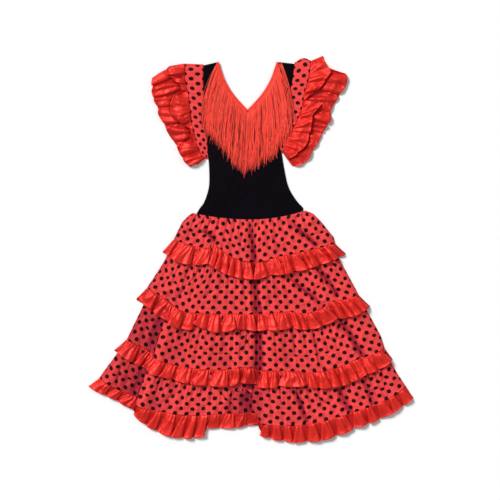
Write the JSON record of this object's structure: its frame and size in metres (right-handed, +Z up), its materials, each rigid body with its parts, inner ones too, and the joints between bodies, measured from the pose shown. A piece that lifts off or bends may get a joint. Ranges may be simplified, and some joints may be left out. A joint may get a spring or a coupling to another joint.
{
  "type": "flamenco dress",
  "caption": "Girl's flamenco dress laid flat: dark bodice with a fringed V neck, ruffled short sleeves and a flared, dotted, tiered skirt edged with ruffles.",
  "frame": {"origin": "on the surface the dress lies on, below the middle of its outline", "axes": "+Y from the hem to the neck, +Z up out of the front, +X to the viewer's right"},
  "size_m": [0.806, 0.963, 0.0214],
  "materials": {
    "bodice_velvet": "matt black stretch velvet",
    "dotted_cloth": "thin coral-red cloth with round near-black dots",
    "ruffle_satin": "red-orange satin with a soft sheen",
    "fringe_yarn": "bright red-orange silky yarn"
  },
  "bodies": {
    "root": {"bodice_front": "bodice_velvet", "bodice_back": "bodice_velvet", "fringe_left": "fringe_yarn", "fringe_right": "fringe_yarn", "sleeve_band_left": "dotted_cloth", "sleeve_ruffle_lower_left": "ruffle_satin", "sleeve_ruffle_upper_left": "ruffle_satin", "sleeve_band_right": "dotted_cloth", "sleeve_ruffle_lower_right": "ruffle_satin", "sleeve_ruffle_upper_right": "ruffle_satin", "skirt_tier_1": "dotted_cloth", "skirt_ruffle_1": "ruffle_satin", "skirt_tier_2": "dotted_cloth", "skirt_ruffle_2": "ruffle_satin", "skirt_tier_3": "dotted_cloth", "skirt_ruffle_3": "ruffle_satin", "skirt_tier_4": "dotted_cloth", "skirt_ruffle_4": "ruffle_satin"}
  },
  "joints": []
}
